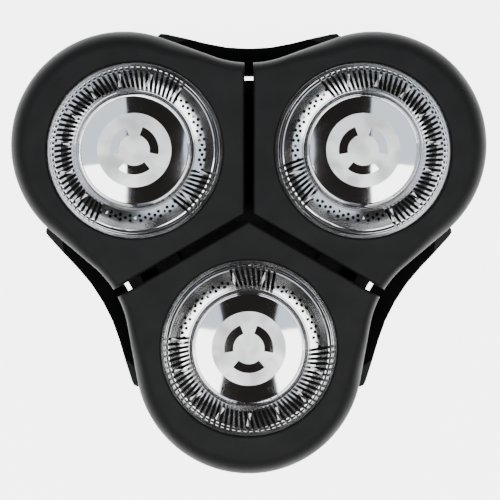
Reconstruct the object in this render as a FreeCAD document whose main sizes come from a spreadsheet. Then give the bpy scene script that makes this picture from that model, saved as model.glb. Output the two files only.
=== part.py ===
import FreeCAD, Part

import math
import os
import re

import Sketcher
from FreeCAD import Placement, Rotation, Vector
from fcgear import fcgear, involute

# Three-head rotary shaving unit. Millimetres. The head axis is +Z, pointing to the cutters, and
# the origin is on that axis in the open end face of the neck. Three petals stand round the axis,
# and each petal carries a slotted cap over a spinning cutter, driven by its own planet gear.

# --- driving sizes -------------------------------------------------------------------------

SIZES = {
    # caps and petals, in plan
    "cap_radius": 11.7,
    "cover_gap": 0.4,
    "gap_wall": 3.02,
    "petal_gap": 1.2,
    "cover_rim": 3.55,
    "lobe_shift": 1.75,
    "waist_rim": 3.05,
    "waist_radius": 14.0,
    "lobe_bevel": 2.4,
    "waist_bevel": 1.4,
    "edge_round": 0.35,
    "seam_line": 0.3,
    # heights, from the neck up
    "neck_length": 7.0,
    "housing_depth": 7.5,
    "plate_thick": 1.5,
    "pivot_rise": 4.0,
    "shell_lift": 2.0,
    "shell_depth": 6.0,
    "bowl_rise": 4.2,
    "bowl_bow": 0.5,
    "cover_depth": 5.0,
    "cap_proud": 1.0,
    "cap_travel": 1.0,
    # neck, housing and gears
    "neck_radius": 11.0,
    "neck_wall": 2.3,
    "shoulder_width": 3.5,
    "floor_thick": 1.3,
    "wall": 1.2,
    "well_wall": 0.7,
    "sun_teeth": 39,
    "planet_teeth": 27,
    "backlash": 0.05,
    "gear_lift": 1.2,
    "gear_width": 3.5,
    "gear_clear": 0.6,
    "sun_hub_radius": 4.5,
    "bush_wall": 1.05,
    "bush_flange": 0.8,
    "socket_radius": 2.5,
    "socket_depth": 5.5,
    "key_width": 0.9,
    "stub_radius": 1.5,
    "stub_seat": 1.0,
    "axle_radius": 1.0,
    "boss_radius": 2.2,
    "screw_radius": 0.8,
    "screw_head_radius": 1.5,
    "screw_head_height": 1.2,
    "screw_depth": 3.4,
    "seal_thick": 0.6,
    "seal_width": 2.0,
    "seal_bite": 0.4,
    # drive to the cutter
    "hub_radius": 3.0,
    "hub_lift": 5.0,
    "cup_radius": 1.75,
    "ball_radius": 1.5,
    "shaft_radius": 1.0,
    "pin_radius": 0.5,
    "pin_reach": 2.2,
    "cup_rise": 2.5,
    "collar_radius": 1.9,
    "square_side": 2.0,
    "spring_wire": 0.25,
    # petal pivot
    "lug_radius": 1.5,
    "pod_rim": 4.2,
    "ear_width": 1.4,
    "lug_width": 1.7,
    "hinge_pin_radius": 0.8,
    "petal_spring_reach": 6.8,
    "petal_spring_radius": 1.5,
    # wings of the frame
    "wing_rim": 2.65,
    "wing_height": 7.5,
    "wing_thick": 1.3,
    "wing_bow": 1.2,
    "wing_half": 12.9,
    # cap and cutter
    "track_width": 2.7,
    "rim_width": 0.7,
    "rim_roll": 0.75,
    "rim_bow": 0.2,
    "track_flat": 1.6,
    "track_fall": 0.12,
    "track_bow": 0.03,
    "cap_skin": 0.45,
    "skirt_wall": 0.6,
    "flange_width": 1.05,
    "groove_width": 0.25,
    "groove_depth": 0.8,
    "disc_edge": 0.5,
    "disc_crown": 0.3,
    "disc_groove": 0.12,
    "badge_radius": 5.1,
    "badge_thick": 0.05,
    "slot_width": 0.4,
    "slot_pitch": 4.0,
    "slot_tilt": 10.0,
    "slot_wrap": 1.7,
    "hole_radius": 0.22,
    "hole_pitch": 8.4,
    "blade_thick": 0.35,
    "blade_tilt": 12.0,
    "blade_gap": 0.05,
    # clearances
    "running": 0.04,
    "loose": 0.1,
    "press": 0.02,
}

# Sizes that follow from the driving sizes.
FORMULAS = {
    "cover_hole": "cap_radius + cover_gap",
    "petal_offset": "(cover_hole + gap_wall + petal_gap / 2) / sin(60)",
    "lobe_radius": "cover_hole + cover_rim",
    "waist_reach": "petal_offset + waist_rim",
    "floor_top": "neck_length + floor_thick",
    "seal_base": "neck_length - seal_thick",
    "seal_seat": "neck_radius - seal_bite",
    "plate_base": "neck_length + housing_depth",
    "plate_top": "plate_base + plate_thick",
    "pivot_level": "plate_top + pivot_rise",
    "shell_base": "pivot_level + shell_lift",
    "seam": "shell_base + shell_depth",
    "cover_top": "seam + cover_depth",
    "cap_top": "cover_top + cap_proud",
    "gear_base": "floor_top + gear_lift",
    "gear_module": "2 * petal_offset / (sun_teeth + planet_teeth)",
    "sun_tip": "gear_module * (sun_teeth + 2) / 2",
    "planet_tip": "gear_module * (planet_teeth + 2) / 2",
    "centre_cavity": "sun_tip + gear_clear",
    "centre_radius": "neck_radius + shoulder_width",
    "pod_cavity": "planet_tip + gear_clear",
    "pod_radius": "pod_cavity + wall",
    "bush_radius": "sun_hub_radius + running + bush_wall",
    "screw_offset": "(centre_cavity + centre_radius) / 2",
    "cup_floor": "plate_base + 0.8",
    "cup_top": "pivot_level + cup_rise",
    "ear_outer": "pod_radius - 0.4",
    "lug_outer": "ear_outer - ear_width - loose",
    "counterbore": "cap_radius + flange_width + 0.25",
    "cover_lip": "cap_top - 2.5",
    "flange_top": "cover_lip - loose",
    "flange_base": "flange_top - 0.6",
    "skirt_base": "flange_base - 0.6",
    "track_outer": "cap_radius - rim_width",
    "track_inner": "track_outer - track_width",
    "groove_wall": "track_inner - 0.1",
    "disc_radius": "groove_wall - groove_width",
    "web_top": "cap_top - groove_depth",
    "web_base": "web_top - 0.5",
    "track_middle": "track_outer - 1.2",
    "disc_rim": "web_top + disc_edge",
    "disc_top": "disc_rim + disc_crown",
    "disc_bulge": "(disc_radius ^ 2 + disc_crown ^ 2) / (2 * disc_crown)",
    "hub_base": "shell_base + hub_lift",
    "petal_spring_peg": "petal_spring_radius - 0.6",
    "cavity_inner": "groove_wall + cap_skin",
    "cavity_outer": "cap_radius - skirt_wall",
    "cavity_top": "cap_top - cap_skin",
    "stem_radius": "shaft_radius",
    "ring_base": "flange_base - 0.2",
    "ring_top": "ring_base + 0.6",
    "ring_outer": "cavity_outer - 0.3",
    "spring_top": "pivot_level - ball_radius",
}

PETALS = {"a": 150, "b": 30, "c": 270}
GAP_TURN = 90
FULL_TURN = 360
SLOTS_FAR_SIDE = 48
SLOTS_NEAR_SIDE = 9
CAP_TURN = -4
HOLES_PER_ROW = 8
HOLE_ROW_STEPS = (("cap_radius - 2.68", 0), ("cap_radius - 2.36", 3.8), ("cap_radius - 2.01", 7.9))
WING_EDGE = ((0, 0), (0.15, 3), (0.65, 6), (1.9, "wing_half - 1.2"),
             (1.95, "wing_half - 0.5"), (1.6, "wing_half - 0.05"), (0.9, "wing_half + 0.05"))
BLADES = 15
PRESSURE_ANGLE = 20
ABOVE = "cap_top + 5"

doc = FreeCAD.newDocument("ShavingUnit")
sheet = doc.addObject("Spreadsheet::Sheet", "Sizes")
for row, (alias, amount) in enumerate(SIZES.items(), start=1):
    sheet.set(f"A{row}", alias)
    sheet.set(f"B{row}", str(amount))
    sheet.setAlias(f"B{row}", alias)
doc.recompute()

nodes = {}


# --- helpers ---------------------------------------------------------------------------------

def link(text):
    """Write a formula out in terms of the sheet's cells."""
    def swap(match):
        word = match[0]
        if word in FORMULAS:
            return "(" + link(FORMULAS[word]) + ")"
        return "Sizes." + word if word in SIZES else word
    return re.sub(r"[a-z][a-z_]*", swap, str(text))


def size(text):
    """Give a formula's present value."""
    return float(sheet.evalExpression(link(text)))


def petal_place(turn):
    """Put a petal's frame on its own axis, with X pointing away from the head axis."""
    out = Rotation(Vector(0, 0, 1), turn)
    return Placement(out.multVec(Vector(size("petal_offset"), 0, 0)), out)


def head_place(turn):
    """Turn a piece about the head axis."""
    return Placement(Vector(), Rotation(Vector(0, 0, 1), turn))


def keep(piece, label, place=None):
    """Name a finished sub-part and put it in its place."""
    piece.Label = label
    if place is not None:
        piece.Placement = place
    nodes[label] = piece
    return piece


def new_body(name):
    return doc.addObject("PartDesign::Body", name)


def new_sketch(body, plane, x=0, y=0, z=0, turn=0):
    """Add a sketch on one of the body's own origin planes, moved within and along the plane's frame."""
    sketch = body.newObject("Sketcher::SketchObject", body.Name + "_sketch")
    origin_plane = next(o for o in body.Origin.OriginFeatures if o.Role == plane)
    sketch.AttachmentSupport = [(origin_plane, "")]
    sketch.MapMode = "FlatFace"
    sketch.AttachmentOffset = Placement(Vector(), Rotation(Vector(0, 0, 1), 1))
    for axis, text in (("x", x), ("y", y), ("z", z)):
        sketch.setExpression("AttachmentOffset.Base." + axis, link(text))
    sketch.setExpression("AttachmentOffset.Rotation.Angle", link(turn))
    return sketch


def tie(sketch, kind, geometry, point, text, tag):
    """Fix one coordinate of a point to a formula."""
    number = sketch.addConstraint(Sketcher.Constraint(kind, -1, 1, geometry, point, size(text)))
    sketch.renameConstraint(number, tag)
    sketch.setExpression("Constraints." + tag, link(text))


def tie_size(sketch, kind, geometry, text, tag):
    """Fix a radius or an angle to a formula."""
    number = sketch.addConstraint(Sketcher.Constraint(kind, geometry, size(text)))
    sketch.renameConstraint(number, tag)
    sketch.setExpression("Constraints." + tag, link(text))


def polygon(sketch, corners):
    """Draw a closed outline through corners given as pairs of formulas.

    A third formula in a corner bows the run that starts there to its right, by that height.
    """
    points = [Vector(size(corner[0]), size(corner[1])) for corner in corners]
    start = sketch.GeometryCount
    count = len(points)
    for i, corner in enumerate(corners):
        first, second = points[i], points[(i + 1) % count]
        run = Part.LineSegment(first, second)
        if len(corner) == 3:
            chord = second - first
            right = Vector(chord.y, -chord.x).normalize()
            run = Part.Arc(first, (first + second) * 0.5 + right * size(corner[2]), second)
        sketch.addGeometry(run)
    for i, corner in enumerate(corners):
        run = start + i
        following = start + (i + 1) % count
        sketch.addConstraint(Sketcher.Constraint("Coincident", run, 2, following, 1))
        tie(sketch, "DistanceX", run, 1, corner[0], f"across_{run}")
        tie(sketch, "DistanceY", run, 1, corner[1], f"up_{run}")
        if len(corner) == 3:
            ahead = corners[(i + 1) % count]
            chord = f"(({ahead[0]}) - ({corner[0]})) ^ 2 + (({ahead[1]}) - ({corner[1]})) ^ 2"
            rise = corner[2]
            tie_size(sketch, "Radius", run, f"(({chord}) / 4 + ({rise}) ^ 2) / (2 * ({rise}))",
                     f"bow_{run}")


def circle(sketch, radius, x=0, y=0):
    """Draw a circle whose centre and radius are formulas."""
    shape = Part.Circle(Vector(size(x), size(y)), Vector(0, 0, 1), size(radius))
    index = sketch.addGeometry(shape)
    tie(sketch, "DistanceX", index, 3, x, f"centre_x_{index}")
    tie(sketch, "DistanceY", index, 3, y, f"centre_y_{index}")
    tie_size(sketch, "Radius", index, radius, f"radius_{index}")


def add(body, kind, sketch, **formulas):
    """Add a sketch-based feature and bind its sizes."""
    feature = body.newObject("PartDesign::" + kind, f"{body.Name}_{kind}")
    feature.Profile = sketch
    for prop, text in formulas.items():
        feature.setExpression(prop, link(text))
    doc.recompute()
    return feature


def pad(body, sketch, length):
    return add(body, "Pad", sketch, Length=length)


def cut_up(body, sketch, length):
    """Pocket towards +Z, or away from the sketch plane along its normal."""
    feature = body.newObject("PartDesign::Pocket", body.Name + "_Pocket")
    feature.Profile = sketch
    feature.Reversed = True
    feature.setExpression("Length", link(length))
    doc.recompute()
    return feature


def spin(body, kind, corners, x=0, turn=0):
    """Revolve or groove a polygon in the XZ plane about the upright line at x."""
    sketch = new_sketch(body, "XZ_Plane", x=x)
    polygon(sketch, corners)
    feature = body.newObject("PartDesign::" + kind, f"{body.Name}_{kind}")
    feature.Profile = sketch
    feature.ReferenceAxis = (sketch, ["V_Axis"])
    feature.Angle = FULL_TURN
    doc.recompute()
    return feature


def repeat(body, features, count, angle=FULL_TURN):
    """Repeat features round the body's own Z axis and make the pattern the body's tip."""
    pattern = body.newObject("PartDesign::PolarPattern", body.Name + "_pattern")
    pattern.Originals = features
    axis = next(o for o in body.Origin.OriginFeatures if o.Role == "Z_Axis")
    pattern.Axis = (axis, [""])
    pattern.Angle = angle
    pattern.Occurrences = count
    body.Tip = pattern
    doc.recompute()
    return pattern


def turned(label, corners, place):
    """A piece that is one revolved outline."""
    body = new_body(label)
    spin(body, "Revolution", corners)
    return keep(body, label, place)


def primitive(kind, name, place=None, **formulas):
    """Add a Part primitive and bind its sizes. Place is a triple of formulas."""
    solid = doc.addObject("Part::" + kind, name)
    for prop, text in formulas.items():
        solid.setExpression(prop, link(text))
    if place:
        for axis, text in zip("xyz", place):
            solid.setExpression("Placement.Base." + axis, link(text))
    return solid


def joined(kind, name, parts):
    """Fuse, or intersect, several solids."""
    result = doc.addObject("Part::" + kind, name)
    result.Shapes = parts
    return result


def minus(name, base, tool):
    result = doc.addObject("Part::Cut", name)
    result.Base = base
    result.Tool = tool
    return result


def box(corner, opposite):
    """Corners of a rectangle from two opposite corners."""
    (left, low), (right, high) = corner, opposite
    return [(left, low), (right, low), (right, high), (left, high)]


# --- gear case -------------------------------------------------------------------------------

def gear_housing():
    """Lower case: neck, shoulder, round centre and three round pods, open at the top."""
    body = new_body("gear_housing")
    spin(body, "Revolution", [
        ("neck_radius - neck_wall", 0), ("neck_radius", 0), ("neck_radius", "seal_base"),
        ("seal_seat", "seal_base"), ("seal_seat", "neck_length"),
        ("centre_radius - 1", "neck_length"), ("centre_radius", "neck_length + 1"),
        ("centre_radius", "plate_base"), (0, "plate_base"), (0, "neck_length"),
        ("neck_radius - neck_wall", "neck_length")])
    pod = spin(body, "Revolution", [
        (0, "neck_length"), ("pod_radius - 3.2", "neck_length"),
        ("pod_radius - 1.4", "neck_length + 0.6"), ("pod_radius - 0.4", "neck_length + 1.8"),
        ("pod_radius", "neck_length + 3.4"), ("pod_radius", "plate_base"), (0, "plate_base")],
        x="-petal_offset")
    repeat(body, [pod], 3)
    spin(body, "Groove", box((0, "floor_top"), ("centre_cavity", "plate_base")))
    cavity = spin(body, "Groove", box((0, "floor_top"), ("pod_cavity", "plate_base")),
                  x="-petal_offset")
    repeat(body, [cavity], 3)
    boss = spin(body, "Revolution", box((0, "floor_top"), ("boss_radius", "gear_base - 0.55")),
                x="-petal_offset")
    repeat(body, [boss], 3)
    hole = spin(body, "Groove", box((0, "neck_length + 0.3"), ("axle_radius + press", "gear_base")),
                x="-petal_offset")
    repeat(body, [hole], 3)
    spin(body, "Groove", box((0, "neck_length"), ("bush_radius + press", "floor_top")))
    screw = spin(body, "Groove", [
        (0, "neck_length"), ("screw_head_radius + loose", "neck_length"),
        ("screw_head_radius + loose", "neck_length + screw_head_height + loose"),
        ("screw_radius + loose", "neck_length + screw_head_height + loose"),
        ("screw_radius + loose", "plate_base"), (0, "plate_base")], x="screw_offset")
    repeat(body, [screw], 3)
    sketch = new_sketch(body, "XY_Plane", z="neck_length * 0.3")
    polygon(sketch, box(("neck_radius - 0.6", -1.6), ("neck_radius + 1", 1.6)))
    notch = cut_up(body, sketch, 2)
    repeat(body, [notch], 3)
    return keep(body, "gear_housing", head_place(GAP_TURN))


def sun_bush():
    return turned("sun_bush", [
        ("sun_hub_radius + running", "neck_length"), ("bush_radius", "neck_length"),
        ("bush_radius", "floor_top"), ("bush_radius + bush_flange", "floor_top"),
        ("bush_radius + bush_flange", "floor_top + 0.5"),
        ("sun_hub_radius + running", "floor_top + 0.5")], head_place(0))


def seal_ring():
    return turned("seal_ring", box(("seal_seat + press", "seal_base"),
                                   ("neck_radius + seal_width", "neck_length")), head_place(0))


def toothed_disc(name, teeth, turn):
    """A spur gear blank with involute teeth, thinned a little for backlash."""
    outline = fcgear.FCWireBuilder()
    module = size("gear_module")
    thinning = -size("backlash") / (2 * module * math.tan(math.radians(PRESSURE_ANGLE)))
    involute.CreateExternalGear(outline, module, int(size(teeth)), PRESSURE_ANGLE,
                                shiftCoeff=thinning)
    wire = Part.Wire([edge.toShape() for edge in outline.wire])
    disc = Part.Face(wire).extrude(Vector(0, 0, size("gear_width")))
    feature = doc.addObject("Part::Feature", name)
    feature.Shape = disc
    feature.Placement = Placement(Vector(0, 0, size("gear_base")), Rotation(Vector(0, 0, 1), turn))
    return feature


def sun_gear():
    """Central gear with a keyed drive socket below and a stub axle above."""
    teeth = toothed_disc("sun_teeth_disc", "sun_teeth", PETALS["b"])
    hub = primitive("Cylinder", "sun_hub", (0, 0, "neck_length"), Radius="sun_hub_radius",
                    Height="plate_base - neck_length - 0.3")
    stub = primitive("Cylinder", "sun_stub", (0, 0, "neck_length"), Radius="stub_radius",
                     Height="plate_base + stub_seat - loose - neck_length")
    blank = joined("MultiFuse", "sun_blank", [teeth, hub, stub])
    socket = primitive("Cylinder", "sun_socket", (0, 0, "neck_length"), Radius="socket_radius",
                       Height="socket_depth")
    keys = [socket]
    for number in range(3):
        key = primitive("Box", f"sun_key_{number}", Length="socket_radius + 0.7",
                        Width="key_width", Height="socket_depth")
        turn = Rotation(Vector(0, 0, 1), number * 120)
        corner = turn.multVec(Vector(0, -size("key_width") / 2, size("neck_length")))
        key.Placement = Placement(corner, turn)
        keys.append(key)
    tool = joined("MultiFuse", "sun_socket_cut", keys)
    return keep(minus("sun_gear", blank, tool), "sun_gear")


def gear_axles():
    """Fixed axles of the three planet gears, pressed into the housing floor."""
    axles = []
    for name, turn in PETALS.items():
        axle = primitive("Cylinder", "gear_axle_" + name, (
            f"petal_offset * cos({turn})", f"petal_offset * sin({turn})", "neck_length + 0.3"),
            Radius="axle_radius", Height="cup_floor - 1.1 - neck_length - 0.3")
        axles.append(axle)
    group = doc.addObject("Part::Compound", "gear_axles")
    group.Links = axles
    return keep(group, "gear_axles")


def gear_screws():
    """Three screws that hold the frame on the gear case, put in from below."""
    screws = []
    for number in range(3):
        turn = GAP_TURN + 120 * number
        centre = (f"screw_offset * cos({turn})", f"screw_offset * sin({turn})")
        head = primitive("Cylinder", f"screw_head_{number}", (*centre, "neck_length"),
                         Radius="screw_head_radius", Height="screw_head_height")
        shank = primitive("Cylinder", f"screw_shank_{number}", (*centre, "neck_length"),
                          Radius="screw_radius",
                          Height="plate_base + screw_depth - loose - neck_length")
        screw = joined("MultiFuse", f"screw_body_{number}", [head, shank])
        recess = primitive("Prism", f"screw_hex_{number}", (*centre, "neck_length"),
                           Circumradius="screw_radius", Height="screw_head_height * 0.6")
        screws.append(minus(f"screw_{number}", screw, recess))
    group = doc.addObject("Part::Compound", "gear_screws")
    group.Links = screws
    return keep(group, "gear_screws")


# --- frame -----------------------------------------------------------------------------------

def support_frame():
    """Upper plate that closes the gear case, with three bowl-shaped wings and the petal hinges."""
    body = new_body("support_frame")
    wing_reach = "waist_reach + wing_rim"
    sketch = new_sketch(body, "XY_Plane", z="plate_base")
    edge = [(f"{wing_reach} + {bulge}", across) for bulge, across in WING_EDGE]
    far_side = [(x, f"-({y})") for x, y in reversed(edge[1:])]
    polygon(sketch, [("centre_radius - 3", -7), *far_side, *edge, ("centre_radius - 3", 7)])
    wing = pad(body, sketch, "plate_thick + wing_height + 1")
    repeat(body, [wing], 3)
    rim_level = "plate_top + wing_height"
    spin(body, "Groove", [
        ("centre_radius - 1.5", "plate_top", "wing_bow"), (f"{wing_reach} + 2.6", rim_level),
        (f"{wing_reach} + 8", rim_level), (f"{wing_reach} + 8", ABOVE), (0, ABOVE), (0, "plate_top")])
    spin(body, "Groove", [
        ("centre_radius - 0.2", "plate_base", "wing_bow"),
        (f"{wing_reach} + 2.6", f"{rim_level} - wing_thick"),
        (f"{wing_reach} + 8", f"{rim_level} - wing_thick"), (f"{wing_reach} + 8", "plate_base")])
    sketch = new_sketch(body, "XY_Plane", z="plate_base")
    circle(sketch, "centre_radius")
    pad(body, sketch, "plate_thick")
    pod = spin(body, "Revolution", box((0, "plate_base"), ("pod_radius", "plate_top")),
               x="-petal_offset")
    repeat(body, [pod], 3)
    rim = spin(body, "Revolution",
               box(("pod_radius - 1", "plate_base"), ("pod_radius", "plate_top + pod_rim")),
               x="-petal_offset")
    repeat(body, [rim], 3)
    tab = new_sketch(body, "XY_Plane", z="plate_base")
    polygon(tab, box(("waist_reach - 3.8", -2.4), ("waist_reach - 1.9", 2.4)))
    tab = pad(body, tab, "wing_height")
    boss = spin(body, "Revolution",
                box((0, "plate_base"), ("screw_radius + 1", "plate_base + screw_depth + 0.5")),
                x="screw_offset")
    peg = spin(body, "Revolution",
               box((0, "plate_base"), ("petal_spring_peg", "plate_top + 1.5")),
               x="-petal_offset - petal_spring_reach")
    repeat(body, [tab, boss, peg], 3)
    window = new_sketch(body, "XY_Plane", z="plate_base")
    polygon(window, box(("waist_reach - 1.8", -1.3), ("waist_reach - 1.1", 1.3)))
    window = cut_up(body, window, "wing_height + 2")
    screw = spin(body, "Groove",
                 box((0, "plate_base"), ("screw_radius + press", "plate_base + screw_depth")),
                 x="screw_offset")
    cup = spin(body, "Groove", box((0, "plate_base"), ("hub_radius + 0.35", "plate_top")),
               x="-petal_offset")
    repeat(body, [window, screw, cup], 3)
    spin(body, "Groove", box((0, "plate_base"), ("stub_radius + running", "plate_base + stub_seat")))
    ears = []
    for side in (1, -1):
        sketch = new_sketch(body, "XZ_Plane", x="-petal_offset",
                            z=f"{side} * (ear_outer - ear_width / 2) - ear_width / 2")
        tongue(sketch, "plate_base + 0.5", "pivot_level", "lug_radius - 0.1")
        ears.append(pad(body, sketch, "ear_width"))
    repeat(body, ears, 3)
    sketch = new_sketch(body, "XZ_Plane", x="-petal_offset", z="-ear_outer - 1")
    circle(sketch, "hinge_pin_radius + press", 0, "pivot_level")
    bore = cut_up(body, sketch, "2 * ear_outer + 2")
    repeat(body, [bore], 3)
    return keep(body, "support_frame", head_place(GAP_TURN))


def tongue(sketch, root, centre, radius):
    """Outline of a hinge ear or lug: straight sides from the root, round end about the pivot."""
    low, mid, half = size(root), size(centre), size(radius)
    up = 1 if mid > low else -1
    corners = [Vector(-half, mid), Vector(-half, low), Vector(half, low), Vector(half, mid)]
    arc = Part.Arc(corners[3], Vector(0, mid + up * half), corners[0])
    lines = [Part.LineSegment(corners[i], corners[i + 1]) for i in range(3)]
    left, base, right, cap = sketch.addGeometry([*lines, arc])
    for first, second in ((left, base), (base, right)):
        sketch.addConstraint(Sketcher.Constraint("Coincident", first, 2, second, 1))
    first, last = (1, 2) if up > 0 else (2, 1)
    sketch.addConstraint(Sketcher.Constraint("Coincident", right, 2, cap, first))
    sketch.addConstraint(Sketcher.Constraint("Coincident", left, 1, cap, last))
    for line, point, x, y in ((left, 1, f"-({radius})", centre), (left, 2, f"-({radius})", root),
                              (right, 1, radius, root), (right, 2, radius, centre)):
        tie(sketch, "DistanceX", line, point, x, f"across_{line}_{point}")
        tie(sketch, "DistanceY", line, point, y, f"up_{line}_{point}")
    tie(sketch, "DistanceY", cap, 3, centre, "pivot_up")


# --- petals ----------------------------------------------------------------------------------

def petal_outline(sketch, inset="0", gap="petal_gap / 2"):
    """Outline of one petal: two sides along the gaps, two hollow waists and the round lobe.

    The sides meet on the line to the head axis, 60 degrees either side of it.
    """
    reach = "(waist_reach + waist_radius)"
    waist_x = f"{reach} * cos(60) - petal_offset"
    waist_y = f"{reach} * sin(60)"
    waist = f"waist_radius + {inset}"
    lobe = f"lobe_radius - {inset}"
    apex = f"({gap} + {inset}) / sin(60) - petal_offset"
    lobe_at = Vector(size("lobe_shift"), 0)
    waist_at = Vector(size(waist_x), size(waist_y))
    waist_size, lobe_size = size(waist), size(lobe)
    tip = Vector(size(apex), 0)
    side = Vector(math.cos(math.radians(60)), math.sin(math.radians(60)))
    across = waist_at - lobe_at
    lean = math.atan2(across.y, across.x) - math.acos((waist_size + lobe_size) / across.Length)
    normal = Vector(math.cos(lean), math.sin(lean))
    lobe_end = lobe_at + normal * lobe_size
    waist_end = waist_at - normal * waist_size
    back = tip - waist_at
    along = back.dot(side)
    corner = tip + side * (-along - math.sqrt(along ** 2 - back.dot(back) + waist_size ** 2))

    def mirror(point):
        return Vector(point.x, -point.y)

    def bearing(centre, point):
        return math.atan2(point.y - centre.y, point.x - centre.x)

    def arc(centre, radius, start, end):
        whole = Part.Circle(centre, Vector(0, 0, 1), radius)
        return Part.ArcOfCircle(whole, bearing(centre, start), bearing(centre, end))

    waist_low = mirror(waist_at)
    ids = sketch.addGeometry([
        Part.LineSegment(tip, corner),
        arc(waist_at, waist_size, corner, waist_end),
        Part.LineSegment(waist_end, lobe_end),
        arc(lobe_at, lobe_size, mirror(lobe_end), lobe_end),
        Part.LineSegment(mirror(lobe_end), mirror(waist_end)),
        arc(waist_low, waist_size, mirror(waist_end), mirror(corner)),
        Part.LineSegment(mirror(corner), tip)])
    side_up, waist_up, run_up, round_end, run_down, waist_down, side_down = ids
    for kind, first, point, second, other in (
            ("Coincident", side_up, 2, waist_up, 1), ("Tangent", waist_up, 2, run_up, 1),
            ("Tangent", run_up, 2, round_end, 2), ("Tangent", round_end, 1, run_down, 1),
            ("Tangent", run_down, 2, waist_down, 1), ("Coincident", waist_down, 2, side_down, 1),
            ("Coincident", side_down, 2, side_up, 1)):
        sketch.addConstraint(Sketcher.Constraint(kind, first, point, second, other))
    for geometry, point, x, y in ((side_up, 1, apex, "0"), (round_end, 3, "lobe_shift", "0"),
                                  (waist_up, 3, waist_x, waist_y),
                                  (waist_down, 3, waist_x, f"-{waist_y}")):
        tie(sketch, "DistanceX", geometry, point, x, f"across_{geometry}")
        tie(sketch, "DistanceY", geometry, point, y, f"up_{geometry}")
    tie_size(sketch, "Radius", round_end, lobe, f"lobe_{round_end}")
    tie_size(sketch, "Radius", waist_up, waist, f"waist_{waist_up}")
    tie_size(sketch, "Radius", waist_down, waist, f"waist_{waist_down}")
    sketch.addConstraint(Sketcher.Constraint("Angle", side_up, math.radians(60)))
    sketch.addConstraint(Sketcher.Constraint("Angle", side_down, math.radians(120)))


def petal_shell(name, place):
    """Lower shell of a petal: bowl-shaped below, with a well for the cap and two hinge lugs."""
    body = new_body("petal_shell_" + name)
    sketch = new_sketch(body, "XY_Plane", z="shell_base")
    petal_outline(sketch)
    pad(body, sketch, "shell_depth - seam_line")
    sketch = new_sketch(body, "XY_Plane", z="seam - seam_line")
    petal_outline(sketch, inset="seam_line")
    pad(body, sketch, "seam_line")
    spin(body, "Groove", [
        ("pod_radius - 0.8", "shell_base", "bowl_bow"), ("pod_radius + 7.7", "shell_base + bowl_rise"),
        ("pod_radius + 30", "shell_base + bowl_rise"), ("pod_radius + 30", "shell_base")])
    spin(body, "Groove", [
        (0, "shell_base + wall"), ("counterbore - 3.5", "shell_base + wall"),
        ("counterbore - 0.2", "seam - 2.2"), ("counterbore + 0.2", "seam - 2.2"),
        ("counterbore + 0.2", "seam"), (0, "seam")])
    spin(body, "Groove", box((0, "shell_base"), ("hub_radius + 2.2", "shell_base + wall")))
    for side in (1, -1):
        sketch = new_sketch(body, "XZ_Plane", z=f"{side} * (lug_outer - lug_width / 2) - lug_width / 2")
        tongue(sketch, "shell_base + 0.4", "pivot_level", "lug_radius")
        pad(body, sketch, "lug_width")
    sketch = new_sketch(body, "XZ_Plane", z="-lug_outer - 1")
    circle(sketch, "hinge_pin_radius + running", 0, "pivot_level")
    cut_up(body, sketch, "2 * lug_outer + 2")
    spin(body, "Revolution",
         box((0, "shell_base - 1.2"), ("petal_spring_peg", "shell_base + 0.6")),
         x="petal_spring_reach")
    return keep(body, "petal_shell_" + name, place)


def petal_cover(name, place):
    """Soft-touch cover of a petal, with the round opening that the cap stands in."""
    body = new_body("petal_cover_blank_" + name)
    sketch = new_sketch(body, "XY_Plane", z="seam")
    petal_outline(sketch)
    pad(body, sketch, "cover_depth")
    sketch = new_sketch(body, "XY_Plane", z="seam")
    petal_outline(sketch, inset="wall")
    cut_up(body, sketch, "cover_depth - lobe_bevel - wall / 2")
    spin(body, "Revolution", box((0, "seam"), ("counterbore + well_wall", "cover_top - wall")))
    spin(body, "Groove", [(0, "seam"), ("counterbore", "seam"), ("counterbore", "cover_lip"),
                          ("cover_hole", "cover_lip"), ("cover_hole", "cover_top"), (0, "cover_top")])
    rounded = doc.addObject("Part::Fillet", "petal_cover_" + name)
    rounded.Base = body
    rounded.Edges = cover_rounds(body.Shape)
    return keep(rounded, "petal_cover_" + name, place)


def cover_rounds(shape):
    """Radii of the cover's top edges: wide round the lobe, less at the waist, slight at the gaps."""
    top, lobe, waist = size("cover_top"), size("lobe_bevel"), size("waist_bevel")
    slight = size("edge_round")
    rounds = []
    for number, edge in enumerate(shape.Edges, start=1):
        if any(abs(corner.Z - top) > 1e-6 for corner in edge.Vertexes):
            continue
        radius = getattr(edge.Curve, "Radius", None)
        if radius is None:
            tangent_run = edge.Length < size("lobe_radius") * 0.6
            if tangent_run:
                far_first = edge.Vertexes[0].X > edge.Vertexes[-1].X
                rounds.append((number, *((lobe, waist) if far_first else (waist, lobe))))
            else:
                rounds.append((number, slight, slight))
        elif abs(radius - size("lobe_radius")) < 1e-6:
            rounds.append((number, lobe, lobe))
        elif abs(radius - size("waist_radius")) < 1e-6:
            rounds.append((number, waist, waist))
        elif abs(radius - size("cover_hole")) < 1e-6:
            rounds.append((number, slight, slight))
    return rounds


def retaining_ring(name, place):
    """Ring in the bottom of the well that locks the cutter and cap in from behind."""
    return turned("retaining_ring_" + name, [
        ("counterbore - 3.6", "seam - 2.1"), ("counterbore + 0.1", "seam - 2.1"),
        ("counterbore + 0.1", "seam - 1.3"), ("counterbore - 1.2", "seam - 0.9"),
        ("counterbore - 3.6", "seam - 0.9")], place)


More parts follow.
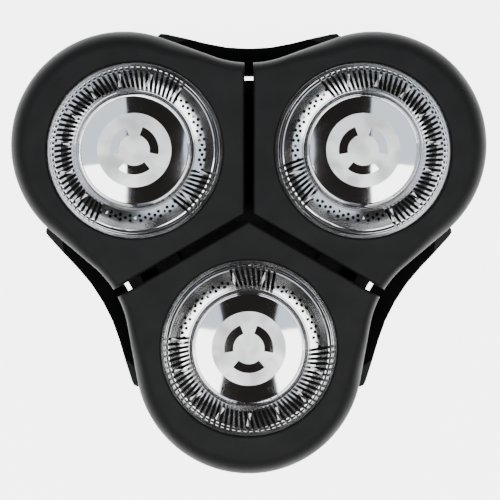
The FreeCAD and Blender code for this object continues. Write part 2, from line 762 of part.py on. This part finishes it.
def hinge_pins(name, place):
    """The two pins that a petal tilts on."""
    pins = []
    for side in (1, -1):
        pin = doc.addObject("Part::Cylinder", f"hinge_pin_{name}_{side + 1}")
        pin.setExpression("Radius", link("hinge_pin_radius"))
        pin.setExpression("Height", link("ear_width + lug_width + loose"))
        start = size("lug_outer - lug_width")
        pin.Placement = Placement(Vector(0, side * start, size("pivot_level")),
                                  Rotation(Vector(1, 0, 0), -90 * side))
        pins.append(pin)
    group = doc.addObject("Part::Compound", "hinge_pins_" + name)
    group.Links = pins
    return keep(group, "hinge_pins_" + name, place)


def coil(label, radius, wire, low, high, turns, place, x=0):
    """A compression spring on an upright axis."""
    body = new_body(label)
    sketch = new_sketch(body, "XZ_Plane", x=x)
    circle(sketch, f"({wire}) / 2", radius, f"{low} + ({wire}) / 2 + 0.02")
    feature = body.newObject("PartDesign::AdditiveHelix", label + "_helix")
    feature.Profile = sketch
    feature.ReferenceAxis = (sketch, ["V_Axis"])
    feature.Mode = 0
    rise = f"({high} - ({low}) - ({wire}) - 0.04)"
    feature.setExpression("Height", link(rise))
    feature.setExpression("Pitch", link(f"{rise} / {turns}"))
    doc.recompute()
    return keep(body, label, place)


# --- cap -------------------------------------------------------------------------------------

def shaving_cap(name, place):
    """Slotted steel cap: ring track with a rolled rim, inner web, outer skirt and flange."""
    body = new_body("shaving_cap_" + name)
    spin(body, "Revolution", [
        ("cavity_outer", "skirt_base"), ("cap_radius", "skirt_base"),
        ("cap_radius", "flange_base"), ("cap_radius + flange_width", "flange_base"),
        ("cap_radius + flange_width", "flange_top"), ("cap_radius", "flange_top"),
        ("cap_radius", "cap_top - slot_wrap"), ("cap_radius - 0.08", "cap_top - rim_roll", "rim_bow"),
        ("cap_radius - rim_roll", "cap_top"), ("cap_radius - track_flat", "cap_top", "track_bow"),
        ("track_inner + 0.1", "cap_top - track_fall"),
        ("track_inner", "cap_top - track_fall - 0.1"), ("groove_wall", "web_top"),
        ("stem_radius + press", "web_top"), ("stem_radius + press", "web_base"),
        ("cavity_inner", "web_base"), ("cavity_inner", "cavity_top"),
        ("cavity_outer - 0.3", "cavity_top"), ("cavity_outer", "cavity_top - 0.6")])
    half_near = f"slot_pitch * {(SLOTS_NEAR_SIDE - 1) / 2}"
    half_far = f"slot_pitch * {(SLOTS_FAR_SIDE - 1) / 2}"
    for start, count in ((f"180 - {half_near}", SLOTS_NEAR_SIDE), (f"-{half_far}", SLOTS_FAR_SIDE)):
        slots = [slot_cut(body, start, "groove_wall - 0.1", "cap_radius - 0.8", "cap_skin + 0.15"),
                 slot_cut(body, start, "cap_radius - 0.9", "cap_radius + 0.4", "slot_wrap")]
        repeat(body, slots, count, (count - 1) * size("slot_pitch"))
    row = f"hole_pitch * {HOLES_PER_ROW - 1}"
    for centre in (-1, 1):
        middle = f"{centre} * (180 - {half_near} + {half_far}) / 2"
        sketch = new_sketch(body, "XY_Plane", z="cap_top - cap_skin - 0.15")
        for radius, step in HOLE_ROW_STEPS:
            bearing = f"({middle} - {row} / 2 + 3.95 - {step})"
            circle(sketch, "hole_radius", f"({radius}) * cos{bearing}", f"({radius}) * sin{bearing}")
        holes = cut_up(body, sketch, "cap_skin + 1")
        repeat(body, [holes], HOLES_PER_ROW, (HOLES_PER_ROW - 1) * size("hole_pitch"))
    return keep(body, "shaving_cap_" + name, place)


def slot_cut(body, bearing, inner, outer, depth):
    """One slot cut, leaning from the radial line, at a bearing round the cap."""
    sketch = new_sketch(body, "XY_Plane", z=f"cap_top - ({depth})", turn=f"{bearing} + slot_tilt",
                        x=f"track_middle * (cos({bearing}) - cos({bearing} + slot_tilt))",
                        y=f"track_middle * (sin({bearing}) - sin({bearing} + slot_tilt))")
    polygon(sketch, box((inner, "-slot_width / 2"), (outer, "slot_width / 2")))
    return cut_up(body, sketch, f"({depth}) + 1")


def cap_disc(name, place):
    """Polished disc in the middle of the cap: slightly crowned, with a stem through the web."""
    body = new_body("cap_disc_blank_" + name)
    spin(body, "Revolution", [
        (0, "web_base - 0.3"), ("stem_radius", "web_base - 0.3"), ("stem_radius", "web_top"),
        ("disc_radius", "web_top"), ("disc_radius", "disc_rim - 0.12", 0.02),
        ("disc_radius - 0.1", "disc_rim"), ("disc_radius - 0.18", "disc_rim"),
        ("disc_radius - 0.26", "disc_rim - disc_groove"), ("disc_radius - 0.34", "disc_rim", 0.02),
        ("disc_radius - 0.5", "disc_rim"), ("disc_radius - 0.58", "disc_rim - disc_groove"),
        ("disc_radius - 0.66", "disc_top"), (0, "disc_top")])
    dome = primitive("Sphere", "cap_disc_dome_" + name, (0, 0, "disc_top - disc_bulge"),
                     Radius="disc_bulge")
    return keep(joined("MultiCommon", "cap_disc_" + name, [body, dome]), "cap_disc_" + name, place)


def cap_badge(name, place):
    """Printed patch on the disc: a plain round field with three open arcs, a film on the crown."""
    low = "disc_top - disc_bulge"
    body = new_body("cap_badge_blank_" + name)
    sketch = new_sketch(body, "XY_Plane", z="disc_rim - 0.2")
    circle(sketch, "badge_radius")
    pad(body, sketch, 1)
    outer = primitive("Sphere", "cap_badge_outer_" + name, (0, 0, low),
                      Radius="disc_bulge + badge_thick")
    inner = primitive("Sphere", "cap_badge_inner_" + name, (0, 0, low), Radius="disc_bulge")
    film = minus("cap_badge_film_" + name, joined("MultiCommon", "cap_badge_lens_" + name,
                                                  [body, outer]), inner)
    arcs = new_body("cap_badge_arcs_" + name)
    sketch = new_sketch(arcs, "XY_Plane", z="web_top")
    arc_window(sketch, "badge_radius * 0.42", "badge_radius * 0.66", 80)
    window = pad(arcs, sketch, 2)
    arcs.AllowCompound = True
    repeat(arcs, [window], 3)
    return keep(minus("cap_badge_" + name, film, arcs), "cap_badge_" + name, place)


def arc_window(sketch, inner, outer, spread):
    """Closed arc band, symmetric about X."""
    half = math.radians(spread / 2)
    small, large = size(inner), size(outer)

    def at(radius, angle):
        return Vector(radius * math.cos(angle), radius * math.sin(angle))

    up = Vector(0, 0, 1)
    near, far, low, high = sketch.addGeometry([
        Part.ArcOfCircle(Part.Circle(Vector(), up, small), -half, half),
        Part.ArcOfCircle(Part.Circle(Vector(), up, large), -half, half),
        Part.LineSegment(at(small, -half), at(large, -half)),
        Part.LineSegment(at(small, half), at(large, half))])
    for first, point, second, other in ((near, 1, low, 1), (far, 1, low, 2),
                                        (near, 2, high, 1), (far, 2, high, 2)):
        sketch.addConstraint(Sketcher.Constraint("Coincident", first, point, second, other))
    for band in (near, far):
        sketch.addConstraint(Sketcher.Constraint("Coincident", band, 3, -1, 1))
    tie_size(sketch, "Radius", near, inner, "inner_radius")
    tie_size(sketch, "Radius", far, outer, "outer_radius")
    sketch.addConstraint(Sketcher.Constraint("Angle", low, -half))
    sketch.addConstraint(Sketcher.Constraint("Angle", high, half))


def cap_carrier(name, place):
    """Ring under the cap's flange that carries the cap and slides in the petal."""
    return turned("cap_carrier_" + name, [
        ("cavity_outer - 0.2", "skirt_base - 1"), ("cap_radius + flange_width", "skirt_base - 1"),
        ("cap_radius + flange_width", "flange_base"), ("cap_radius + press", "flange_base"),
        ("cap_radius + press", "skirt_base"), ("cavity_outer - 0.2", "skirt_base")], place)


# --- cutter and its drive --------------------------------------------------------------------

def cutter_blades(name, place):
    """Ring of hardened blades that runs just under the slotted track."""
    body = new_body("cutter_blades_" + name)
    spin(body, "Revolution", box(("cavity_inner - 0.4", "ring_base"), ("ring_outer", "ring_top")))
    sketch = new_sketch(body, "XY_Plane", z="ring_base", turn="-blade_tilt",
                        x="track_middle * (1 - cos(blade_tilt))",
                        y="track_middle * sin(blade_tilt)")
    polygon(sketch, box(("cavity_inner + 0.25", "-blade_thick / 2"),
                        ("ring_outer - 0.12", "blade_thick / 2")))
    blade = pad(body, sketch, "cavity_top - blade_gap - ring_base")
    repeat(body, [blade], BLADES)
    return keep(body, "cutter_blades_" + name, place)


def cutter_hub(name, place):
    """Plastic hub that the blade ring is snapped on, with a square socket for the spindle."""
    body = new_body("cutter_hub_" + name)
    spin(body, "Revolution", [
        (0, "hub_base"), (2.6, "hub_base"), (3.2, "ring_base - 0.8"),
        ("ring_outer - 1.6", "ring_base - 0.8"), ("ring_outer - 1.6", "ring_base"),
        ("cavity_inner - 0.5", "ring_base"), ("cavity_inner - 0.5", "ring_top"),
        (3.2, "ring_top"), (2.6, "web_base - 0.5"), (0, "web_base - 0.5")])
    sketch = new_sketch(body, "XY_Plane", z="hub_base")
    half = "(square_side / 2 + running)"
    polygon(sketch, box((f"-{half}", f"-{half}"), (half, half)))
    cut_up(body, sketch, 3)
    return keep(body, "cutter_hub_" + name, place)


def drive_spindle(name, place):
    """Spindle with a ball and cross pin below, which work as a universal joint in the gear's cup."""
    ball = primitive("Sphere", "spindle_ball_" + name, (0, 0, "pivot_level"), Radius="ball_radius")
    shaft = primitive("Cylinder", "spindle_shaft_" + name, (0, 0, "pivot_level"),
                      Radius="shaft_radius", Height="hub_base - pivot_level")
    collar = primitive("Cylinder", "spindle_collar_" + name, (0, 0, "hub_base - 0.6"),
                       Radius="collar_radius", Height=0.6)
    square = primitive("Box", "spindle_square_" + name,
                       ("-square_side / 2", "-square_side / 2", "hub_base - 0.3"),
                       Length="square_side", Width="square_side", Height=3)
    pin = doc.addObject("Part::Cylinder", "spindle_pin_" + name)
    pin.setExpression("Radius", link("pin_radius"))
    pin.setExpression("Height", link("2 * pin_reach"))
    pin.Placement = Placement(Vector(-size("pin_reach"), 0, size("pivot_level")),
                              Rotation(Vector(0, 1, 0), 90))
    return keep(joined("MultiFuse", "drive_spindle_" + name, [ball, shaft, collar, square, pin]),
                "drive_spindle_" + name, place)


def drive_gear(name, turn, place):
    """Planet gear with a bored hub below and a slotted cup above."""
    half_tooth = 180 / size("planet_teeth") if int(size("planet_teeth")) % 2 == 0 else 0
    teeth = toothed_disc("planet_teeth_" + name, "planet_teeth", half_tooth)
    hub = primitive("Cylinder", "planet_hub_" + name, (0, 0, "gear_base - 0.5"),
                    Radius="hub_radius", Height="cup_top - gear_base + 0.5")
    blank = joined("MultiFuse", "planet_blank_" + name, [teeth, hub])
    bore = primitive("Cylinder", "planet_bore_" + name, (0, 0, "gear_base - 0.5"),
                     Radius="axle_radius + running", Height="cup_floor - 0.9 - gear_base + 0.5")
    cup = primitive("Cylinder", "planet_cup_" + name, (0, 0, "cup_floor"), Radius="cup_radius",
                    Height="cup_top - cup_floor")
    wide = "pin_radius * 2 + 0.1"
    floor = "pivot_level - pin_radius - cap_travel - 0.3"
    slot = primitive("Box", "planet_slot_" + name, ("-hub_radius", f"-({wide}) / 2", floor),
                     Length="2 * hub_radius", Width=wide, Height=f"cup_top - ({floor})")
    tool = joined("MultiFuse", "planet_cut_" + name, [bore, cup, slot])
    return keep(minus("drive_gear_" + name, blank, tool), "drive_gear_" + name, place)


# --- assembly --------------------------------------------------------------------------------

def build():
    gear_housing()
    sun_bush()
    seal_ring()
    sun_gear()
    gear_axles()
    gear_screws()
    support_frame()
    for name, turn in PETALS.items():
        place = petal_place(turn)
        cap_place = petal_place(turn) * head_place(CAP_TURN)
        petal_shell(name, place)
        petal_cover(name, place)
        retaining_ring(name, place)
        hinge_pins(name, place)
        shaving_cap(name, cap_place)
        cap_disc(name, place)
        cap_badge(name, place)
        cap_carrier(name, place)
        cutter_blades(name, place)
        cutter_hub(name, place)
        drive_spindle(name, place)
        drive_gear(name, turn, place)
        coil("spindle_spring_" + name, 1.2, "spring_wire", "cup_floor", "spring_top", 5, place)
        coil("petal_spring_" + name, "petal_spring_radius", "spring_wire + 0.05", "plate_top",
             "shell_base", 7, place, x="petal_spring_reach")


def check_and_write():
    """Stop on any failed object or shape, then write one file per sub-part."""
    doc.recompute()
    for piece in doc.Objects:
        if "Invalid" in piece.State or "Error" in piece.State:
            raise RuntimeError(f"{piece.Name} failed: {piece.State}")
    for label, piece in nodes.items():
        if piece.Shape.isNull() or not piece.Shape.isValid():
            raise RuntimeError(f"{label} has no valid shape")
    os.makedirs("parts", exist_ok=True)
    for label, piece in nodes.items():
        piece.Shape.exportStep(f"parts/{label}.step")
    print(len(nodes), "sub-parts written")


build()
check_and_write()
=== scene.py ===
"""Looks of the rotary shaving head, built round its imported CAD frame. Metres."""

import bpy
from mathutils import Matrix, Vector


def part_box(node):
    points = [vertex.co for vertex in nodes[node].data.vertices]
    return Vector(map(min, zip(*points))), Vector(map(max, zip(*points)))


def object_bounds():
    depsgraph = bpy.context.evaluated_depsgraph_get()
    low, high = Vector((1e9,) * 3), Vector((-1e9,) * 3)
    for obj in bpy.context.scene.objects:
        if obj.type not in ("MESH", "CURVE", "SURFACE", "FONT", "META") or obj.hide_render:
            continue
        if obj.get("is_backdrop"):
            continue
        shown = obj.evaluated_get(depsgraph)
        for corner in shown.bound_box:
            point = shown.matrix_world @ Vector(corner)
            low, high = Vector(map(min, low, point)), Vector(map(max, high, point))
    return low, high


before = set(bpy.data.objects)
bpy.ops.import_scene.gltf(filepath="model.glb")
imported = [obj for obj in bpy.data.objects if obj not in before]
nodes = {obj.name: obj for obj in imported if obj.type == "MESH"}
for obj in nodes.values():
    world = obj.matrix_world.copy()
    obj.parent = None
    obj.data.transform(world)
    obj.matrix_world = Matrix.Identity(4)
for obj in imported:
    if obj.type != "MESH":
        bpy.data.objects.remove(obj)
cad_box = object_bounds()

MM = 0.001
PETALS = ("a", "b", "c")

# Scratches on steel: texture scale for 0.05 mm features, and their depth in metres.
SCRATCH_SCALE = 1.0 / (0.05 * MM)
SCRATCH_DEPTH = 1.5e-6

# The studio: two pairs of softboxes, with a dark gap between them, and a glowing floor.
BOX_LEVEL = 0.78
BOX_GAP = 0.062
BOX_WIDTH = 0.34
BOX_DEPTH = 0.36
WHITE_POWER = 2.2
COOL_POWER = 0.5
FLOOR_GLOW = 5.0


# --- places taken from the frame --------------------------------------------------------------

def centre_of(node):
    """Middle of a node's box."""
    low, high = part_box(node)
    return (Vector(low) + Vector(high)) / 2


cap_centre = {name: centre_of("cap_disc_" + name) for name in PETALS}
cover_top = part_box("petal_cover_a")[1][2]


# --- node helpers -----------------------------------------------------------------------------

class Surface:
    """A material under construction, with short calls for the nodes that are used here."""

    def __init__(self, name, color, roughness, metallic=0.0, **sockets):
        self.mat = bpy.data.materials.new(name)
        self.mat.use_nodes = True
        self.tree = self.mat.node_tree
        self.bsdf = self.tree.nodes["Principled BSDF"]
        self.set("Base Color", (*color, 1.0))
        self.set("Roughness", roughness)
        self.set("Metallic", metallic)
        for socket, value in sockets.items():
            self.set(socket.replace("_", " "), value)
        coords = self.add("ShaderNodeTexCoord")
        self.position = coords.outputs["Object"]

    def add(self, kind, **props):
        node = self.tree.nodes.new(kind)
        for prop, value in props.items():
            setattr(node, prop, value)
        return node

    def join(self, output, socket):
        self.tree.links.new(output, socket)

    def set(self, socket, value):
        self.bsdf.inputs[socket].default_value = value

    def moved(self, centre):
        """Position measured from a centre."""
        shift = self.add("ShaderNodeVectorMath", operation="SUBTRACT")
        self.join(self.position, shift.inputs[0])
        shift.inputs[1].default_value = centre
        return shift.outputs[0]

    def noise(self, scale, detail=2.0, rough=0.5, vector=None, stretch=None):
        vector = vector or self.position
        if stretch:
            mapping = self.add("ShaderNodeMapping")
            self.join(vector, mapping.inputs["Vector"])
            mapping.inputs["Scale"].default_value = stretch
            vector = mapping.outputs["Vector"]
        node = self.add("ShaderNodeTexNoise")
        self.join(vector, node.inputs["Vector"])
        node.inputs["Scale"].default_value = scale
        node.inputs["Detail"].default_value = detail
        node.inputs["Roughness"].default_value = rough
        return node.outputs["Fac"]

    def ramp(self, value, low, high, start=0.0, end=1.0):
        """Map a value from one range to another, clamped."""
        node = self.add("ShaderNodeMapRange")
        self.join(value, node.inputs["Value"])
        for socket, number in (("From Min", low), ("From Max", high), ("To Min", start), ("To Max", end)):
            node.inputs[socket].default_value = number
        return node.outputs["Result"]

    def mix_color(self, factor, first, second):
        node = self.add("ShaderNodeMix", data_type="RGBA")
        self.join(factor, node.inputs["Factor"])
        node.inputs["A"].default_value = (*first, 1.0)
        node.inputs["B"].default_value = (*second, 1.0)
        self.join(node.outputs["Result"], self.bsdf.inputs["Base Color"])

    def bump(self, height, distance):
        """Raise the surface by a height value, with a depth in metres."""
        node = self.add("ShaderNodeBump")
        node.inputs["Distance"].default_value = distance
        node.inputs["Strength"].default_value = 1.0
        self.join(height, node.inputs["Height"])
        self.join(node.outputs["Normal"], self.bsdf.inputs["Normal"])

    def radius(self, centre):
        """Distance from an upright axis."""
        flat = self.add("ShaderNodeVectorMath", operation="MULTIPLY")
        self.join(self.moved(centre), flat.inputs[0])
        flat.inputs[1].default_value = (1, 1, 0)
        length = self.add("ShaderNodeVectorMath", operation="LENGTH")
        self.join(flat.outputs[0], length.inputs[0])
        return length.outputs["Value"]


def plastic(name, color, roughness, grain=0.12, depth=4e-6, shift=0.35, **sockets):
    """Moulded plastic: fine spark-eroded grain, slow changes of tone and gloss."""
    s = Surface(name, color, roughness, **sockets)
    slow = s.noise(90.0, 3.0)
    s.mix_color(s.ramp(slow, 0.3, 0.7), [c * (1 - shift / 2) for c in color],
                [c * (1 + shift / 2) for c in color])
    s.join(s.ramp(s.noise(240.0, 4.0), 0.3, 0.7, roughness - 0.05, roughness + 0.06),
           s.bsdf.inputs["Roughness"])
    s.bump(s.noise(1.0 / (grain * MM), 3.0, 0.6), depth)
    return s.mat


def scratch(s):
    """Fine random scratches along one direction."""
    s.bump(s.noise(SCRATCH_SCALE, 2.0, stretch=(1, 0.12, 1)), SCRATCH_DEPTH)


def steel(name, color, roughness):
    """Polished or ground steel with fine random scratches."""
    s = Surface(name, color, roughness, 1.0)
    s.join(s.ramp(s.noise(350.0, 5.0), 0.3, 0.7, roughness * 0.7, roughness * 1.5),
           s.bsdf.inputs["Roughness"])
    scratch(s)
    return s.mat


def lathe_steel(name, color, roughness, centre, pitch=0.05, depth=1.0e-6):
    """Steel with turning marks round an upright axis."""
    s = Surface(name, color, roughness, 1.0)
    radius = s.radius(centre)
    rings = s.add("ShaderNodeTexNoise", noise_dimensions="1D")
    s.join(radius, rings.inputs["W"])
    rings.inputs["Scale"].default_value = 1.0 / (pitch * MM)
    rings.inputs["Detail"].default_value = 3.0
    s.join(s.ramp(s.noise(260.0, 4.0), 0.3, 0.7, roughness * 0.75, roughness * 1.4),
           s.bsdf.inputs["Roughness"])
    s.bump(rings.outputs["Fac"], depth)
    return s.mat


def blade_ring_painted_shade(name, tip, depth=0.7 * MM):
    """Ground blade tips in bare steel colour; below them the ring is painted near-black as shade in the
    cavity under the cap.
    """
    s = Surface(name, (0.8, 0.8, 0.8), 0.2, 1.0)
    height = s.add("ShaderNodeSeparateXYZ")
    s.join(s.position, height.inputs[0])
    # Painted shade: colour fades from steel at the tips to near-black over the depth below them.
    unshaded_tip = s.ramp(height.outputs["Z"], tip - depth, tip - depth * 0.5)
    s.mix_color(unshaded_tip, (0.02, 0.02, 0.02), (0.82, 0.82, 0.83))
    s.join(s.ramp(unshaded_tip, 0.0, 1.0, 0.6, 0.22), s.bsdf.inputs["Roughness"])
    scratch(s)
    return s.mat


# --- materials --------------------------------------------------------------------------------

def dress(material, *names):
    """Give CAD nodes a material."""
    for name in names:
        data = nodes[name].data
        data.materials.clear()
        data.materials.append(material)


cover_soft = plastic("cover_soft_touch", (0.0145, 0.0145, 0.015), 0.55, grain=0.09, depth=3e-6,
                     shift=0.2, Specular_IOR_Level=0.2)
shell_satin = plastic("shell_satin", (0.008, 0.008, 0.0085), 0.42, Specular_IOR_Level=0.25)
frame_satin = plastic("frame_satin", (0.010, 0.010, 0.0105), 0.42, Specular_IOR_Level=0.2)
housing_grain = plastic("housing_grain", (0.010, 0.010, 0.0105), 0.5, grain=0.2, depth=8e-6,
                        Specular_IOR_Level=0.3)
ring_grey = plastic("ring_grey", (0.22, 0.23, 0.25), 0.45)
carrier_dark = plastic("carrier_dark", (0.02, 0.02, 0.022), 0.4)
hub_dark = plastic("hub_dark", (0.03, 0.03, 0.032), 0.4)
acetal = plastic("gear_acetal", (0.72, 0.71, 0.66), 0.38, shift=0.08)
badge_ink = steel("badge_frost", (0.94, 0.94, 0.94), 0.45)
seal_rubber = plastic("seal_rubber", (0.02, 0.02, 0.02), 0.7, grain=0.25, depth=1e-5)
# The blade material paints shade below the blade tips.
blade_steel_painted_shade = blade_ring_painted_shade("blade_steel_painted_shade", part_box("cutter_blades_a")[1][2])
pin_steel = steel("pin_steel", (0.55, 0.55, 0.56), 0.3)
spring_steel = steel("spring_steel", (0.62, 0.61, 0.60), 0.25)
bush_brass = steel("bush_brass", (0.70, 0.52, 0.24), 0.3)

dress(housing_grain, "gear_housing")
dress(frame_satin, "support_frame")
dress(acetal, "sun_gear", *("drive_gear_" + p for p in PETALS))
dress(bush_brass, "sun_bush")
dress(seal_rubber, "seal_ring")
dress(pin_steel, "gear_axles", "gear_screws")
for p in PETALS:
    centre = cap_centre[p]
    dress(cover_soft, "petal_cover_" + p)
    dress(shell_satin, "petal_shell_" + p)
    dress(ring_grey, "retaining_ring_" + p)
    dress(carrier_dark, "cap_carrier_" + p)
    dress(hub_dark, "cutter_hub_" + p)
    dress(badge_ink, "cap_badge_" + p)
    dress(blade_steel_painted_shade, "cutter_blades_" + p)
    dress(pin_steel, "drive_spindle_" + p, "hinge_pins_" + p)
    dress(spring_steel, "spindle_spring_" + p, "petal_spring_" + p)
    dress(lathe_steel("cap_steel_" + p, (0.74, 0.74, 0.75), 0.09, centre, 0.09, 1e-7),
          "shaving_cap_" + p)
    dress(lathe_steel("disc_mirror_" + p, (0.86, 0.86, 0.87), 0.035, centre, 0.12, 3e-8),
          "cap_disc_" + p)


# --- floor, light and camera ------------------------------------------------------------------

def stage_floor():
    """A plain white floor under the neck."""
    bpy.ops.mesh.primitive_plane_add(size=3.0, location=(0, 0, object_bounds()[0][2] - 0.0002))
    floor = bpy.context.object
    floor.name = "floor"
    s = Surface("floor_white", (0.92, 0.92, 0.92), 0.8)
    s.set("Emission Color", (1, 1, 1, 1))
    s.set("Emission Strength", FLOOR_GLOW)
    floor.data.materials.append(s.mat)
    floor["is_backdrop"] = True


def softbox(name, place, width, height, power, color=(1, 1, 1)):
    """A rectangular light that faces straight down, over the head."""
    light = bpy.data.lights.new(name, "AREA")
    light.shape = "RECTANGLE"
    light.size = width
    light.size_y = height
    light.energy = power
    light.color = color
    lamp = bpy.data.objects.new(name, light)
    bpy.context.scene.collection.objects.link(lamp)
    lamp.location = place
    lamp.visible_camera = False


def studio():
    """Two pairs of softboxes beside the lens: white in front, dimmer and bluer at the back."""
    stage_floor()
    for side, name in ((-1, "left"), (1, "right")):
        middle = side * (BOX_GAP + BOX_WIDTH / 2)
        softbox("white_" + name, (middle, -BOX_DEPTH / 2, BOX_LEVEL), BOX_WIDTH, BOX_DEPTH, WHITE_POWER)
        softbox("cool_" + name, (middle, BOX_DEPTH / 2, BOX_LEVEL), BOX_WIDTH, BOX_DEPTH, COOL_POWER,
                (0.82, 0.9, 1.0))
    world = bpy.data.worlds.new("studio")
    bpy.context.scene.world = world
    world.use_nodes = True
    tree = world.node_tree
    background = tree.nodes["Background"]
    coords = tree.nodes.new("ShaderNodeTexCoord")
    parts = tree.nodes.new("ShaderNodeSeparateXYZ")
    ramp = tree.nodes.new("ShaderNodeValToRGB")
    tree.links.new(coords.outputs["Generated"], parts.inputs[0])
    tree.links.new(parts.outputs["Z"], ramp.inputs["Fac"])
    tree.links.new(ramp.outputs["Color"], background.inputs["Color"])
    stops = ramp.color_ramp.elements
    stops[0].position = 0.0
    stops[0].color = (0.22, 0.22, 0.225, 1)
    stops[1].position = 1.0
    stops[1].color = (0.02, 0.018, 0.016, 1)
    for place, tone in ((0.3, (0.07, 0.07, 0.072, 1)), (0.75, (0.05, 0.05, 0.052, 1)),
                        (0.96, (0.02, 0.018, 0.016, 1))):
        stop = stops.new(place)
        stop.color = tone
    background.inputs["Strength"].default_value = 1.0


def camera():
    """Straight down on the covers, framed a little below the head axis."""
    data = bpy.data.cameras.new("camera")
    view = bpy.data.objects.new("camera", data)
    bpy.context.scene.collection.objects.link(view)
    low, high = cad_box
    distance = 0.42
    view_width = 68.75 * MM
    data.sensor_width = 36.0
    data.lens = data.sensor_width * distance / view_width
    data.clip_start = 0.01
    view.location = (0.165 * MM, -4.63 * MM, cover_top + distance)
    bpy.context.scene.camera = view


studio()
camera()
